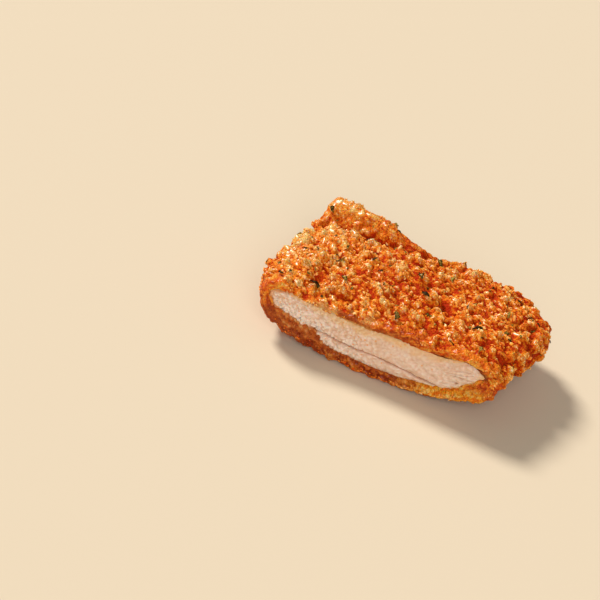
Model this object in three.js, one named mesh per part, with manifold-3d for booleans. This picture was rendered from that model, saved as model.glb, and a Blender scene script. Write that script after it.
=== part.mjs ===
// One cut half of a crumbed, fried chicken breast fillet, lying on its underside.
// Millimetres, +Z up. X runs along the cut face, Y from the cut face to the uncut far edge.
// Two solids: the meat that runs through the piece and shows at the cut, and the crumb
// coating around it, open at the cut, with the largest crumbs and herb flakes fused on.
import * as THREE from 'three';
import Module from 'manifold-3d';
import { mergeVertices } from 'three/addons/utils/BufferGeometryUtils.js';

// ---- driving dimensions ----
const CUT_Y = -31;            // plane of the cut
const FLOOR_Z = -2.2;         // underside, planed flat where it rests
const SAG = 0.3;              // mean height of the underside above its planed spots
const GIRTH_Z = 11;           // height at which the coating is widest
const LEVEL_Z = 19.2;         // general height of the top
const PLAN_LEFT = 7;          // squareness of the far left corner seen from above
const PLAN_RIGHT = 4;         // squareness of the far right corner
const EDGE_TOP = 6;           // squareness of the upper edge in section
const EDGE_LOW_LEFT = 2.6;    // the lower edge is rounder, most of all at the right
const EDGE_LOW_RIGHT = 1.9;
const CRUST_TOP = 2.4;        // coating thickness over, under, beside and behind the meat
const CRUST_LOW = 2.6;
const CRUST_LEFT = 2.6;
const CRUST_RIGHT = 5.2;
const CRUST_FAR = 3.6;
const GAP = 0.3;              // clearance between coating and meat
const RIDGE_HEIGHT = 4.9;     // fold along the far left edge
const CREASE_DEPTH = 3.2;     // narrow valley in front of the fold
const CRAG_COARSE = 1.5, CRAG_COARSE_SIZE = 6.4;
const CRAG_FINE = 0.95, CRAG_FINE_SIZE = 3.4;
const CRAG_LOSS = 0.42;       // crags finer than this are left off the facets
const SEAM_WIDTH = 0.8, SEAM_DEPTH = 4.5;   // gap between the two muscle layers
const CRUMBS = 84, CRUMB_MAX = 1.4, CRUMB_MIN = 0.85;  // radii
const ROUND_CRUMBS = 0.42;    // share of the crumbs, the largest, with twenty facets
const FLAKES = 26, FLAKE_LENGTH = 3.2, FLAKE_WIDTH = 1.6, FLAKE_THICK = 0.5;
const NOTCH = [43.5, 14], NOTCH_CLEAR = 7;   // nick in the far right edge, kept free of crumbs
const SEED = 20577;

// outlines, as (position, value) pairs joined by a smooth curve
const FAR_EDGE = curve([[-43, 29], [-34, 30], [-22, 25.9], [-12, 21.8], [-2, 19.6], [4, 19.8], [11, 21.8], [20, 20.3], [30, 20.8], [46, 18.5]]);
const LEFT_SIDE = curve([[-31, -36.9], [-24, -39.6], [-14, -40.9], [-4, -39.9], [8, -39.7], [18, -39.8], [26, -40.6], [31, -41.5]]);
const RIGHT_SIDE = curve([[-31, 41.7], [-22, 42], [-12, 44.8], [-2, 46.8], [6, 46.8], [14, 45.5], [22, 44]]);
const RIM_TOP = curve([[-37, 16.6], [-32, 19.3], [-25, 17.2], [-18, 16.1], [-4, 15.8], [8, 17.9], [22, 18.2], [34, 19.2], [41, 17]]);
const MEAT_TOP = curve([[-35, 14.8], [-29, 15.6], [-18, 14.7], [-4, 13.9], [6, 14.5], [22, 15], [31, 16.9], [37, 14.6]]);
const MEAT_LOW = curve([[-35, 11], [-29, 8.3], [-22, 6.8], [-17.5, 6.3], [-13.5, 2.7], [-6, 1.9], [5, 1.5], [17, 2.9], [24, 4.3], [29, 6.4], [34, 10.6], [37, 12.8]]);
const SEAM = curve([[-19, 6.7], [-8, 5.8], [8, 5.7], [16, 4.9], [25, 4.4]]);

function curve(pts) {
  const n = pts.length;
  const slope = pts.map((p, i) => {
    const a = pts[Math.max(i - 1, 0)], b = pts[Math.min(i + 1, n - 1)];
    return (b[1] - a[1]) / (b[0] - a[0]);
  });
  return t => {
    if (t <= pts[0][0]) return pts[0][1];
    if (t >= pts[n - 1][0]) return pts[n - 1][1];
    let i = 0;
    while (t > pts[i + 1][0]) i++;
    const h = pts[i + 1][0] - pts[i][0], s = (t - pts[i][0]) / h, r = 1 - s;
    return (1 + 2 * s) * r * r * pts[i][1] + s * r * r * h * slope[i]
      + s * s * (3 - 2 * s) * pts[i + 1][1] - s * s * r * h * slope[i + 1];
  };
}

const lerp = (a, b, t) => a + (b - a) * t;
const smooth = (a, b, t) => { const s = Math.min(Math.max((t - a) / (b - a), 0), 1); return s * s * (3 - 2 * s); };

// a rounded mound (or hollow, below zero) along a line seen from above
function mound(x, y, x0, y0, x1, y1, width, height) {
  const dx = x1 - x0, dy = y1 - y0, l2 = dx * dx + dy * dy;
  const t = l2 ? Math.min(Math.max(((x - x0) * dx + (y - y0) * dy) / l2, 0), 1) : 0;
  const ex = x - x0 - t * dx, ey = y - y0 - t * dy;
  return height * Math.exp(-(ex * ex + ey * ey) / (2 * width * width));
}

// ---- seeded numbers and gradient noise ----
function stream(seed) {
  let s = seed >>> 0;
  return () => { s = (Math.imul(s, 1664525) + 1013904223) >>> 0; return s / 4294967296; };
}
const perm = [...Array(256).keys()];
{
  const next = stream(SEED);
  for (let i = 255; i > 0; i--) {
    const j = Math.floor(next() * (i + 1));
    [perm[i], perm[j]] = [perm[j], perm[i]];
  }
}
function noise(x, y, z) {
  const X = Math.floor(x), Y = Math.floor(y), Z = Math.floor(z);
  x -= X; y -= Y; z -= Z;
  const fade = t => t * t * t * (t * (t * 6 - 15) + 10);
  const at = (i, j, k) => {
    const h = perm[(perm[(perm[(X + i) & 255] + Y + j) & 255] + Z + k) & 255] & 15;
    const a = h < 8 ? x - i : y - j, b = h < 4 ? y - j : (h === 12 || h === 14) ? x - i : z - k;
    return (h & 1 ? -a : a) + (h & 2 ? -b : b);
  };
  const u = fade(x), v = fade(y), w = fade(z);
  return lerp(
    lerp(lerp(at(0, 0, 0), at(1, 0, 0), u), lerp(at(0, 1, 0), at(1, 1, 0), u), v),
    lerp(lerp(at(0, 0, 1), at(1, 0, 1), u), lerp(at(0, 1, 1), at(1, 1, 1), u), v), w);
}
const lumps = (p, size) => 2.2 * Math.abs(noise(p.x / size, p.y / size, p.z / size)) - 0.55;

// ---- the outer form ----
// top of the coating before crags: rim at the cut, fold and hollows further in
function topZ(x, y) {
  const inner = LEVEL_Z
    + mound(x, y, -38, 23, -3, 16.5, 3.6, RIDGE_HEIGHT * lerp(1, 0.35, smooth(-24, 0, x)))
    - mound(x, y, -35, 13.6, -13, 12.6, 1.9, CREASE_DEPTH) - mound(x, y, -9, 13.1, 3, 15.6, 1.5, CREASE_DEPTH * 0.6)
    + mound(x, y, -27, 8.6, -2, 9.6, 2.4, 0.9)
    - mound(x, y, -22.3, -28, -22.3, -8, 1.5, 2.2)
    - mound(x, y, 14, -3, 18, -16, 2.2, 1.6)
    + mound(x, y, -38.5, 24.5, -38.5, 24.5, 3, 2.2)
    + mound(x, y, -30, -20, -28, -9, 4, 0.7)
    - mound(x, y, -41, -14, -39, 6, 4, 1.2)
    + mound(x, y, -6, -12, 2, -2, 7, 1.1)
    + mound(x, y, 34, -22, 30, -10, 5, 0.7)
    - mound(x, y, 36, 12, 44, -4, 5, 1.5);
  return lerp(RIM_TOP(x), inner, smooth(CUT_Y, CUT_Y + 11, y));
}

// a point of the cube -1..1 goes to a rounded slab whose near face stays flat
function slab(q, plan, edge) {
  const far = Math.max(q.y, 0);
  const p = plan(q.x);
  const reach = Math.pow(Math.pow(Math.abs(q.x), p) + Math.pow(far, p), 1 / p);
  const n = edge(q);
  const norm = Math.pow(Math.pow(reach, n) + Math.pow(Math.abs(q.z), n), 1 / n);
  const size = Math.max(Math.abs(q.x), far, Math.abs(q.z));
  const k = norm > 0 ? size / norm : 1;
  return new THREE.Vector3(q.x * k, q.y > 0 ? q.y * k : q.y, q.z * k);
}

function outerPoint(q) {
  const s = slab(q, u => u < 0 ? PLAN_LEFT : PLAN_RIGHT,
    c => c.z > 0 ? EDGE_TOP : lerp(EDGE_LOW_LEFT, EDGE_LOW_RIGHT, (c.x + 1) / 2));
  const y = CUT_Y + (s.y + 1) / 2 * (FAR_EDGE(lerp(-43, 46, (s.x + 1) / 2)) - CUT_Y);
  const x = lerp(LEFT_SIDE(y), RIGHT_SIDE(y), (s.x + 1) / 2);
  const z = s.z > 0 ? lerp(GIRTH_Z, topZ(x, y), s.z) : lerp(GIRTH_Z, FLOOR_Z + SAG, -s.z);
  return new THREE.Vector3(x, y, z);
}

// height of the coating's under or upper side at a place, without crags
function skinZ(s, x, y, up) {
  const p = s.x < 0 ? PLAN_LEFT : PLAN_RIGHT, far = Math.max(s.y, 0);
  const reach = Math.min(Math.pow(Math.pow(Math.abs(s.x), p) + Math.pow(far, p), 1 / p), 1);
  const n = up ? EDGE_TOP : lerp(EDGE_LOW_LEFT, EDGE_LOW_RIGHT, (s.x + 1) / 2);
  return lerp(GIRTH_Z, up ? topZ(x, y) : FLOOR_Z + SAG, Math.pow(1 - Math.pow(reach, n), 1 / n));
}

function meatPoint(q) {
  const s = slab(q, u => u < 0 ? PLAN_LEFT : PLAN_RIGHT, () => 5);
  const y = CUT_Y + (s.y + 1) / 2 * (FAR_EDGE(lerp(-43, 46, (s.x + 1) / 2)) - CRUST_FAR - CUT_Y);
  const x = lerp(LEFT_SIDE(y) + CRUST_LEFT, RIGHT_SIDE(y) - CRUST_RIGHT, (s.x + 1) / 2);
  const t = smooth(CUT_Y, CUT_Y + 13, y);
  const inTop = Math.max(Math.min(skinZ(s, x, y, true), LEVEL_Z + 0.8) - CRUST_TOP - 0.4
    - mound(x, y, -35, 13.4, 2, 14.6, 4, 2.2), GIRTH_Z + 2);
  const inLow = Math.min(skinZ(s, x, y, false) + CRUST_LOW, GIRTH_Z - 1);
  const top = lerp(Math.min(MEAT_TOP(x), RIM_TOP(x) - 1.7), inTop, t);
  const low = lerp(MEAT_LOW(x), inLow, t);
  return new THREE.Vector3(x, y, lerp(low, top, (s.z + 1) / 2));
}

// how craggy the coating is: smooth along the cut and on the fold, rough elsewhere
function roughness(p) {
  const rim = lerp(0.35, 1, smooth(CUT_Y + 1, CUT_Y + 6, p.y));
  const fold = p.z > GIRTH_Z ? mound(p.x, p.y, -37, 23, -6, 18, 4, 0.6) : 0;
  return rim * (1 - fold);
}
function crag(p) {
  const notch = mound(p.x, p.y, ...NOTCH, ...NOTCH, 1.8, 2.2) + mound(p.x, p.y, 44, -19, 44, -19, 2, 1);
  return roughness(p) * (CRAG_COARSE * lumps(p, CRAG_COARSE_SIZE) + CRAG_FINE * lumps(p, CRAG_FINE_SIZE)) - notch;
}

// ---- meshes ----
const closed = g => { g.deleteAttribute('normal'); g.deleteAttribute('uv'); return mergeVertices(g, 1e-4); };
const solid = g => new Manifold(new Mesh({
  numProp: 3, vertProperties: new Float32Array(g.attributes.position.array), triVerts: new Uint32Array(g.index.array),
}));

// a cube grid carried onto a form; lead > 0 adds a first row standing that far in front of the cut
function body(nx, ny, nz, point, lead = 0) {
  const rows = lead ? ny + 1 : ny;
  const g = closed(new THREE.BoxGeometry(2, 2, 2, nx, rows, nz));
  const pos = g.attributes.position, near = [];
  const q = new THREE.Vector3();
  for (let i = 0; i < pos.count; i++) {
    q.fromBufferAttribute(pos, i);
    const j = Math.round((q.y + 1) / 2 * rows);
    if (lead) q.y = j === 0 ? -1 : -1 + 2 * (j - 1) / ny;
    const p = point(q);
    if (lead && j === 0) p.y -= lead;
    near.push(j === 0 || (lead && j === 1) ? (Math.max(Math.abs(q.x), Math.abs(q.z)) > 0.999 ? 1 : 2) : 0);
    pos.setXYZ(i, p.x, p.y, p.z);
  }
  g.computeVertexNormals();
  return { g, near };   // near: 1 on the outline of the cut face, 2 inside it
}

// moves every point along its normal; the outline of the cut face moves only in its plane
function swell({ g, near }, amount, face = () => 0) {
  const pos = g.attributes.position, nor = g.attributes.normal;
  const p = new THREE.Vector3(), n = new THREE.Vector3();
  for (let i = 0; i < pos.count; i++) {
    p.fromBufferAttribute(pos, i);
    n.fromBufferAttribute(nor, i);
    if (near[i]) { n.y = 0; n.normalize(); }
    const d = near[i] === 2 ? 0 : amount(p);
    const f = near[i] ? face(p) : 0;
    pos.setXYZ(i, p.x + n.x * d, p.y + n.y * d + f, p.z + n.z * d);
  }
  return closed(g);
}

const wasm = await Module();
wasm.setup();
const { Manifold, Mesh } = wasm;

const outer = body(44, 30, 8, outerPoint);
const coatingForm = solid(swell(outer, crag, p => 0.35 * noise(p.x / 4, p.z / 3, 7.3))).simplify(CRAG_LOSS);
const cavity = solid(swell(body(24, 9, 5, meatPoint, 4), () => GAP)).simplify(0.06);
const meatForm = solid(swell(body(24, 9, 5, meatPoint), () => 0,
  p => 0.2 + 0.6 * smooth(16, 28, p.x) * smooth(10, 15, p.z) + 0.45 * noise(p.x / 5, p.z / 2.2, 3.1) + 0.25 * noise(p.x / 2.1, p.z / 1.3, 9.4))).simplify(0.06);

// seam between the muscle layers: a tapering slot that follows its curve into the cut face
function seamSlot() {
  const g = closed(new THREE.BoxGeometry(2, 2, 2, 14, 1, 1));
  const pos = g.attributes.position;
  for (let i = 0; i < pos.count; i++) {
    const t = (pos.getX(i) + 1) / 2, x = lerp(-19, 24.5, t);
    const taper = Math.min(1, 0.25 + 2.4 * Math.min(t, 1 - t));
    const y = pos.getY(i) < 0 ? CUT_Y - 2 : CUT_Y + SEAM_DEPTH * taper;
    const half = SEAM_WIDTH / 2 * taper * (pos.getY(i) < 0 ? 1 : 0.45);
    pos.setXYZ(i, x, y, SEAM(x) + 0.25 * noise(x / 4, 2.2, 5.5) + Math.sign(pos.getZ(i)) * half);
  }
  return solid(g);
}
const meat = meatForm.subtract(seamSlot());

// ---- crumbs and herb flakes, largest first, spread evenly over the coating ----
// a pair of numbers goes to a spot on the top or a little way down the three crumbed sides
function spot(a, b) {
  const u = lerp(-1.22, 1.22, a), v = lerp(-0.93, 1.2, b);
  const du = Math.max(Math.abs(u) - 1, 0), dv = Math.max(v - 1, 0);
  if (du && dv) return null;
  const at = (x, y) => {
    const ex = Math.max(Math.abs(x) - 1, 0), ey = Math.max(y - 1, 0);
    const q = new THREE.Vector3(THREE.MathUtils.clamp(x, -1, 1), Math.min(y, 1), 1 - 6 * Math.max(ex, ey));
    return outerPoint(q);
  };
  const p = at(u, v), e = 0.012;
  if (Math.hypot(p.x - NOTCH[0], p.y - NOTCH[1]) < NOTCH_CLEAR) return null;
  const n = at(u + e, v).sub(at(u - e, v)).cross(at(u, v + e).sub(at(u, v - e))).normalize();
  p.addScaledVector(n, crag(p));
  return { p, n };
}
function topping(count, seed, make) {
  const next = stream(seed), parts = [];
  for (let i = 0, k = 0; i < count; k++) {
    const s = spot((0.5 + k * 0.7548776662) % 1, (0.5 + k * 0.5698402910) % 1);
    if (!s) continue;
    const g = closed(make(i / count, next));
    const turn = new THREE.Quaternion().setFromUnitVectors(new THREE.Vector3(0, 0, 1), s.n)
      .multiply(new THREE.Quaternion().setFromAxisAngle(new THREE.Vector3(0, 0, 1), next() * Math.PI * 2));
    g.applyQuaternion(turn).translate(s.p.x, s.p.y, s.p.z);
    parts.push(solid(g));
    i++;
  }
  return parts;
}
const crumbs = topping(CRUMBS, SEED + 1, (t, next) => {
  const g = closed(t < ROUND_CRUMBS ? new THREE.IcosahedronGeometry(1, 0) : new THREE.OctahedronGeometry(1, 0));
  const r = lerp(CRUMB_MAX, CRUMB_MIN, t), pos = g.attributes.position;
  const long = 1 + 0.25 * next(), spin = new THREE.Matrix4().makeRotationX(6 * next());
  g.applyMatrix4(spin);
  for (let i = 0; i < pos.count; i++) {
    const k = r * (0.8 + 0.4 * next());
    pos.setXYZ(i, pos.getX(i) * k * long, pos.getY(i) * k, pos.getZ(i) * k * 0.85 + 0.25 * r);
  }
  return g;
});
const flakes = topping(FLAKES, SEED + 2, (t, next) => {
  const g = new THREE.BoxGeometry(FLAKE_LENGTH, FLAKE_WIDTH, FLAKE_THICK, 2, 1, 1), pos = g.attributes.position;
  const k = lerp(1.15, 0.7, t), tilt = 0.5 * (next() - 0.5);
  for (let i = 0; i < pos.count; i++) {
    const x = pos.getX(i) * k, y = pos.getY(i) * k * (1 - Math.abs(pos.getX(i)) / FLAKE_LENGTH);
    pos.setXYZ(i, x, y, pos.getZ(i) + tilt * x + 0.45 - 0.06 * x * x);
  }
  return g;
});

const coating = Manifold.union([coatingForm, ...crumbs, ...flakes])
  .subtract(cavity)
  .trimByPlane([0, 0, 1], FLOOR_Z)
  .trimByPlane([0, 1, 0], CUT_Y - 0.45)
  .simplify(0.08);

// ---- the group, with the bottom centre of the whole piece at the origin ----
const group = new THREE.Group();
const shapes = { crumb_coating: coating, chicken_meat: meat };
const box = new THREE.Box3();
for (const m of Object.values(shapes)) {
  const b = m.boundingBox();
  box.union(new THREE.Box3(new THREE.Vector3(...b.min), new THREE.Vector3(...b.max)));
}
const shift = new THREE.Vector3(-(box.min.x + box.max.x) / 2, -(box.min.y + box.max.y) / 2, -box.min.z);
group.userData.shift = shift.toArray();
const colours = { crumb_coating: 0xc8702c, chicken_meat: 0xe3c3a4 };
for (const [name, m] of Object.entries(shapes)) {
  const pieces = m.decompose().sort((a, b) => b.volume() - a.volume());
  const out = pieces[0].translate([shift.x, shift.y, shift.z]).getMesh();
  const g = new THREE.BufferGeometry();
  g.setAttribute('position', new THREE.BufferAttribute(new Float32Array(out.vertProperties), 3));
  g.setIndex(new THREE.BufferAttribute(new Uint32Array(out.triVerts), 1));
  g.computeVertexNormals();
  const mesh = new THREE.Mesh(g, new THREE.MeshStandardMaterial({ color: colours[name], roughness: 0.6 }));
  mesh.name = name;
  group.add(mesh);
}
export default group;
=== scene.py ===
"""One cut half of a crumbed, fried chicken fillet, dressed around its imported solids.

Sizes in the making are millimetres in the drawing's frame: the cut lies on y = CUT_Y and the
table at z = FLOOR_Z. placed() turns them into the frame's metres.
"""
from types import SimpleNamespace

import bmesh
import bpy
import numpy as np
from mathutils import Matrix, Vector, kdtree


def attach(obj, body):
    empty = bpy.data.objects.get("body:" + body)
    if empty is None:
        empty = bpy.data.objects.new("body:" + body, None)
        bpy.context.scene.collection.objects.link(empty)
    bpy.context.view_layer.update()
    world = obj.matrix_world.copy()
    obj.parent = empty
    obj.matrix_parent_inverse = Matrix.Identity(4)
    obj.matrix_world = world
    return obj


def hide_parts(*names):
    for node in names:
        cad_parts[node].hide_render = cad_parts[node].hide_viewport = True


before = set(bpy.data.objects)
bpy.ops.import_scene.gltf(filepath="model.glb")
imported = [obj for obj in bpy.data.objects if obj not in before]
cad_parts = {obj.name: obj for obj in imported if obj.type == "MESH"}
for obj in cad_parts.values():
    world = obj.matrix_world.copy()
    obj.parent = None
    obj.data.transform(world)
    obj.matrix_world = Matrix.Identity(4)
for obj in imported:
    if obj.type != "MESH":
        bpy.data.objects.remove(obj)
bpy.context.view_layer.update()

bl_info = {
    "name": "Crumbed Fillet",
    "version": (1, 0, 0),
    "blender": (4, 5, 0),
    "location": "View3D > Sidebar > Fillet",
    "description": "Builds the cut half of a crumbed, fried chicken fillet",
    "category": "Add Mesh",
}

# ---- sizes shared with the solids, mm ----
CUT_Y, FLOOR_Z, SAG, GIRTH_Z, LEVEL_Z = -31.0, -2.2, 0.3, 11.0, 19.2
PLAN_LEFT, PLAN_RIGHT, EDGE_TOP, EDGE_LOW_LEFT, EDGE_LOW_RIGHT = 7, 4, 6, 2.6, 1.9
CRUST_TOP, CRUST_LOW, CRUST_LEFT, CRUST_RIGHT, CRUST_FAR = 2.4, 2.6, 2.6, 5.2, 3.6
RIDGE_HEIGHT, CREASE_DEPTH = 4.9, 3.2
CRUMBS, CRUMB_MAX, CRUMB_MIN = 84, 1.4, 0.85
FLAKES, FLAKE_LENGTH, FLAKE_WIDTH = 26, 3.2, 1.6
NOTCH, NOTCH_CLEAR = (43.5, 14.0), 7.0
CRAG_SIZE, SMALL_CRAG_SIZE = 6.4, 3.4
SEED = 20577
MIDDLE = (2.14203, -1.13354, FLOOR_Z)  # of the solids' box, at its bottom
# ends, width and height of each swell and dip of the top
SWELLS = (
    (-35, 13.6, -13, 12.6, 1.9, -CREASE_DEPTH), (-9, 13.1, 3, 15.6, 1.5, -CREASE_DEPTH * 0.6),
    (-27, 8.6, -2, 9.6, 2.4, 0.9), (-22.3, -28, -22.3, -8, 1.5, -2.2), (14, -3, 18, -16, 2.2, -1.6),
    (-38.5, 24.5, -38.5, 24.5, 3, 2.2), (-30, -20, -28, -9, 4, 0.7), (-41, -14, -39, 6, 4, -1.2),
    (-6, -12, 2, -2, 7, 1.1), (34, -22, 30, -10, 5, 0.7), (36, 12, 44, -4, 5, -1.5))

# ---- sizes of the scene's own detail, mm ----
CLEFTS = (  # ends, width and depth of the clefts along the dips, which are darkened with painted shade
    (-35, 13.4, -13, 12.6, 0.9, 1), (-12, 12.8, 3, 15.6, 0.7, 0.8),
    (-22.5, -27, -22.8, -13, 0.7, 0.4), (14, -3, 18, -16, 0.7, 0.5))
KNOLL_SIZE, CLUMP_SIZES, GRAIN_SIZE, BULGE_SIZE = 4.3, (2.3, 1.9), 1.15, 3.0
ALONG, ACROSS, ALONG_ANGLE = (0.81, -0.58, 0), (0.58, 0.81, 0), -0.62  # the way the crumb is drawn out
SQUEEZE = (0.6, 0.42)  # how much it is drawn out, on the left and on the right
MEDIUM_RADII, FINE_RADII = (0.88, 0.42), (0.46, 0.22)
FLAKE_THICKNESS = 0.12
OUTLINE_FLAKES, OUTLINE_SINK = [9, 12, 19, 92], 0.8  # the flakes on the outline, which lie deeper
FLOOR_HALF = 3000.0
CUT_RINGS, CAVITY_ROWS, EDGE_LOOPS = 14, 4, 6
CRUST_GRID, MEAT_GRID = (216, 140, 42), (236, 20, 64)

# ---- picture and lights ----
PICTURE, MIDDLE_PIXEL, LOOK_Z, SENSOR = 600, (405, 300), 9.5, 36
ROOM_TONE, ROOM_LIGHT = (1.0, 0.94, 0.84, 1), 0.23
SUNS = (("Key", (-0.6, 0.28, 0.6), 14, 3.4, (1.0, 0.96, 0.88)),
        ("Fill", (0.3, -0.75, 0.5), 40, 1.5, (1.0, 0.98, 0.96)))


# ---- small mathematics ----
def curve(*pts):
    t0 = np.array([p[0] for p in pts], float)
    v0 = np.array([p[1] for p in pts], float)
    hi, lo = np.minimum(np.arange(len(pts)) + 1, len(pts) - 1), np.maximum(np.arange(len(pts)) - 1, 0)
    slope = (v0[hi] - v0[lo]) / (t0[hi] - t0[lo])

    def at(t):
        t = np.clip(t, t0[0], t0[-1])
        i = np.clip(np.searchsorted(t0, t, side="left") - 1, 0, len(t0) - 2)
        h = t0[i + 1] - t0[i]
        s = (t - t0[i]) / h
        r = 1 - s
        return ((1 + 2 * s) * r * r * v0[i] + s * r * r * h * slope[i]
                + s * s * (3 - 2 * s) * v0[i + 1] - s * s * r * h * slope[i + 1])

    return at


FAR_EDGE = curve((-43, 29), (-34, 30), (-22, 25.9), (-12, 21.8), (-2, 19.6), (4, 19.8), (11, 21.8),
                 (20, 20.3), (30, 20.8), (46, 18.5))
LEFT_SIDE = curve((-31, -36.9), (-24, -39.6), (-14, -40.9), (-4, -39.9), (8, -39.7), (18, -39.8),
                  (26, -40.6), (31, -41.5))
RIGHT_SIDE = curve((-31, 41.7), (-22, 42), (-12, 44.8), (-2, 46.8), (6, 46.8), (14, 45.5), (22, 44))
RIM_TOP = curve((-37, 16.6), (-32, 19.3), (-25, 17.2), (-18, 16.1), (-4, 15.8), (8, 17.9), (22, 18.2),
                (34, 19.2), (41, 17))
MEAT_TOP = curve((-35, 14.8), (-29, 15.6), (-18, 14.7), (-4, 13.9), (6, 14.5), (22, 15), (31, 16.9),
                 (37, 14.6))
MEAT_LOW = curve((-35, 11), (-29, 8.3), (-22, 6.8), (-17.5, 6.3), (-13.5, 2.7), (-6, 1.9), (5, 1.5),
                 (17, 2.9), (24, 4.3), (29, 6.4), (34, 10.6), (37, 12.8))
SEAM = curve((-19, 6.7), (-8, 5.8), (8, 5.7), (16, 4.9), (25, 4.4))
# how far from the cut the crumbs start, the share of its edge that crumbs cover above the meat, and how
# far the crust's lip leans out over the meat
BARE = curve((-40, 4.2), (-33, 3.4), (-27, 0.4), (-19, 0.3), (-14, 0.9), (-8, 1.6), (-3, 2.4), (1, 3.2),
             (13, 3.2), (19, 1.2), (27, 2.4), (35, 2.8), (44, 1.0))
EDGE_CRUMBS = curve((-34, 0.0), (-30, 0.3), (-26, 0.8), (-19, 0.8), (-14, 0.2), (-9, 0.03), (1, 0.03),
                    (13, 0.1), (17, 0.7), (22, 0.7), (26, 0.15), (35, 0.1), (39, 0.8))
LIP = curve((-40, 0.3), (-34, 0.6), (-28, 0.2), (-14, 0.0), (12, 0.1), (19, 0.7), (28, 1.2), (36, 1.0),
            (43, 0.0))


def lerp(a, b, t):
    return a + (b - a) * t


def smooth(a, b, t):
    s = np.clip((t - a) / (b - a), 0, 1)
    return s * s * (3 - 2 * s)


def mound(x, y, x0, y0, x1, y1, width, height):
    dx, dy = x1 - x0, y1 - y0
    l2 = dx * dx + dy * dy
    t = np.clip(((x - x0) * dx + (y - y0) * dy) / l2, 0, 1) if l2 else 0
    ex, ey = x - x0 - t * dx, y - y0 - t * dy
    return height * np.exp(-(ex * ex + ey * ey) / (2 * width * width))


def stream(seed):
    s = seed
    while True:
        s = (s * 1664525 + 1013904223) % 4294967296
        yield s / 4294967296


def shuffled():
    order, draws = list(range(256)), stream(SEED)
    for i in range(255, 0, -1):
        j = int(next(draws) * (i + 1))
        order[i], order[j] = order[j], order[i]
    return np.array(order)


PERM = shuffled()


def drawn_number(cell, start=0):
    """A number 0..255 for each cell, always the same for the same cell."""
    number = start
    for axis in range(3):
        number = PERM[(number + cell[:, axis]) & 255]
    return number


def noise(p, size, away=0.0):
    """Gradient noise at points p, whose swells are about `size` mm apart."""
    p = p / size + away
    c = np.floor(p).astype(int)
    f = p - c
    fade = f * f * f * (f * (f * 6 - 15) + 10)
    total = 0
    for i in (0, 1):
        for j in (0, 1):
            for k in (0, 1):
                h = drawn_number(c + (i, j, k)) & 15
                x, y, z = f[:, 0] - i, f[:, 1] - j, f[:, 2] - k
                a = np.where(h < 8, x, y)
                b = np.where(h < 4, y, np.where((h == 12) | (h == 14), x, z))
                g = np.where(h & 1, -a, a) + np.where(h & 2, -b, b)
                w = ((fade[:, 0] if i else 1 - fade[:, 0]) * (fade[:, 1] if j else 1 - fade[:, 1])
                     * (fade[:, 2] if k else 1 - fade[:, 2]))
                total = total + g * w
    return total


def lumps(p, size, away=0.0):
    return 2.2 * np.abs(noise(p, size, away)) - 0.55


def grains(p, size):
    """Rounded grains packed about `size` mm apart: their height 0..1, and a number for each grain."""
    p = p / size
    c = np.floor(p).astype(int)
    near, ident = np.full(len(p), 9.0), np.zeros(len(p))
    for i in (-1, 0, 1):
        for j in (-1, 0, 1):
            for k in (-1, 0, 1):
                g = c + (i, j, k)
                h = [drawn_number(g, start) for start in (11, 87, 163, 201)]
                seed = g + np.stack(h[:3], 1) / 255.0
                d = ((p - seed) ** 2).sum(1) * (0.75 + h[3] / 400.0)
                closer = d < near
                near = np.where(closer, d, near)
                ident = np.where(closer, h[3] / 255.0, ident)
    return np.clip(1 - near / 0.55, 0, 1), ident


def columns(*parts):
    """Points from their coordinates, of which a bare number is the same for all."""
    return np.stack(np.broadcast_arrays(*parts), 1)


def unit(v):
    return v / np.maximum(np.linalg.norm(v, axis=1, keepdims=True), 1e-12)


# ---- the form, the same as the solids' ----
def top_z(x, y):
    inner = LEVEL_Z + mound(x, y, -38, 23, -3, 16.5, 3.6, RIDGE_HEIGHT) * lerp(1, 0.35, smooth(-24, 0, x))
    for swell in SWELLS:
        inner = inner + mound(x, y, *swell)
    return lerp(RIM_TOP(x), inner, smooth(CUT_Y, CUT_Y + 11, y))


def reach_of(x, far):
    p = np.where(x < 0, PLAN_LEFT, PLAN_RIGHT)
    return (np.abs(x) ** p + far ** p) ** (1 / p)


def low_edge(x):
    return lerp(EDGE_LOW_LEFT, EDGE_LOW_RIGHT, (x + 1) / 2)


def slab(q, edge):
    far = np.maximum(q[:, 1], 0)
    norm = (reach_of(q[:, 0], far) ** edge + np.abs(q[:, 2]) ** edge) ** (1 / edge)
    k = np.maximum(np.maximum(np.abs(q[:, 0]), far), np.abs(q[:, 2])) / np.maximum(norm, 1e-9)
    return np.stack([q[:, 0] * k, np.where(q[:, 1] > 0, q[:, 1] * k, q[:, 1]), q[:, 2] * k], 1)


def outer_point(q):
    s = slab(q, np.where(q[:, 2] > 0, EDGE_TOP, low_edge(q[:, 0])))
    y = CUT_Y + (s[:, 1] + 1) / 2 * (FAR_EDGE(lerp(-43, 46, (s[:, 0] + 1) / 2)) - CUT_Y)
    x = lerp(LEFT_SIDE(y), RIGHT_SIDE(y), (s[:, 0] + 1) / 2)
    z = np.where(s[:, 2] > 0, lerp(GIRTH_Z, top_z(x, y), s[:, 2]), lerp(GIRTH_Z, FLOOR_Z + SAG, -s[:, 2]))
    return np.stack([x, y, z], 1)


def skin_z(s, x, y, up):
    reach = np.minimum(reach_of(s[:, 0], np.maximum(s[:, 1], 0)), 1)
    n = EDGE_TOP if up else low_edge(s[:, 0])
    return lerp(GIRTH_Z, top_z(x, y) if up else FLOOR_Z + SAG, np.maximum(1 - reach ** n, 0) ** (1 / n))


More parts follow.
